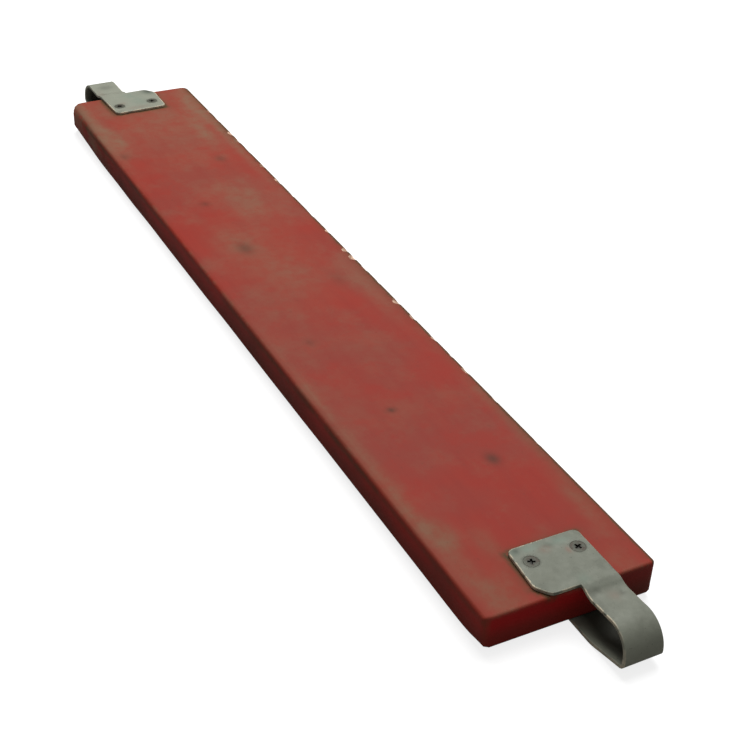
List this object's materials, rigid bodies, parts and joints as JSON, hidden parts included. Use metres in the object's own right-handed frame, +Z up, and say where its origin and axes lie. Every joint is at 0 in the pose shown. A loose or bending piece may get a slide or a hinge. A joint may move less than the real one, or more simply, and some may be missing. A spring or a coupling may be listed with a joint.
{
  "type": "scaffold plank",
  "caption": "Short painted timber scaffold toe board with a bent steel strap loop screwed to each end, to drop over upright pins and close the edge of a work platform.",
  "frame": {"origin": "bottom centre of the whole: on the floor, midway between the tips of the two loops, on the board's centre line", "axes": "+X along the board towards its front loop fitting, +Y across the board towards that fitting's loop, +Z up out of the face that carries the fittings' top plates"},
  "size_m": [1.115, 0.15, 0.037],
  "materials": {
    "painted_timber": "worn matt red paint over softwood, bare wood showing where the edge is chipped",
    "weathered_steel": "dull weathered zinc coating, rubbed brighter along its edges",
    "screw_steel": "dark, dirty, slightly rusted"
  },
  "bodies": {
    "root": {"board": "painted_timber", "loop_fitting_front": "weathered_steel", "loop_fitting_rear": "weathered_steel", "top_screw_front_inner": "screw_steel", "top_screw_front_outer": "screw_steel", "top_screw_rear_inner": "screw_steel", "top_screw_rear_outer": "screw_steel", "lower_screw_front_end": "screw_steel", "lower_screw_front_back": "screw_steel", "lower_screw_rear_end": "screw_steel", "lower_screw_rear_back": "screw_steel"}
  },
  "joints": []
}
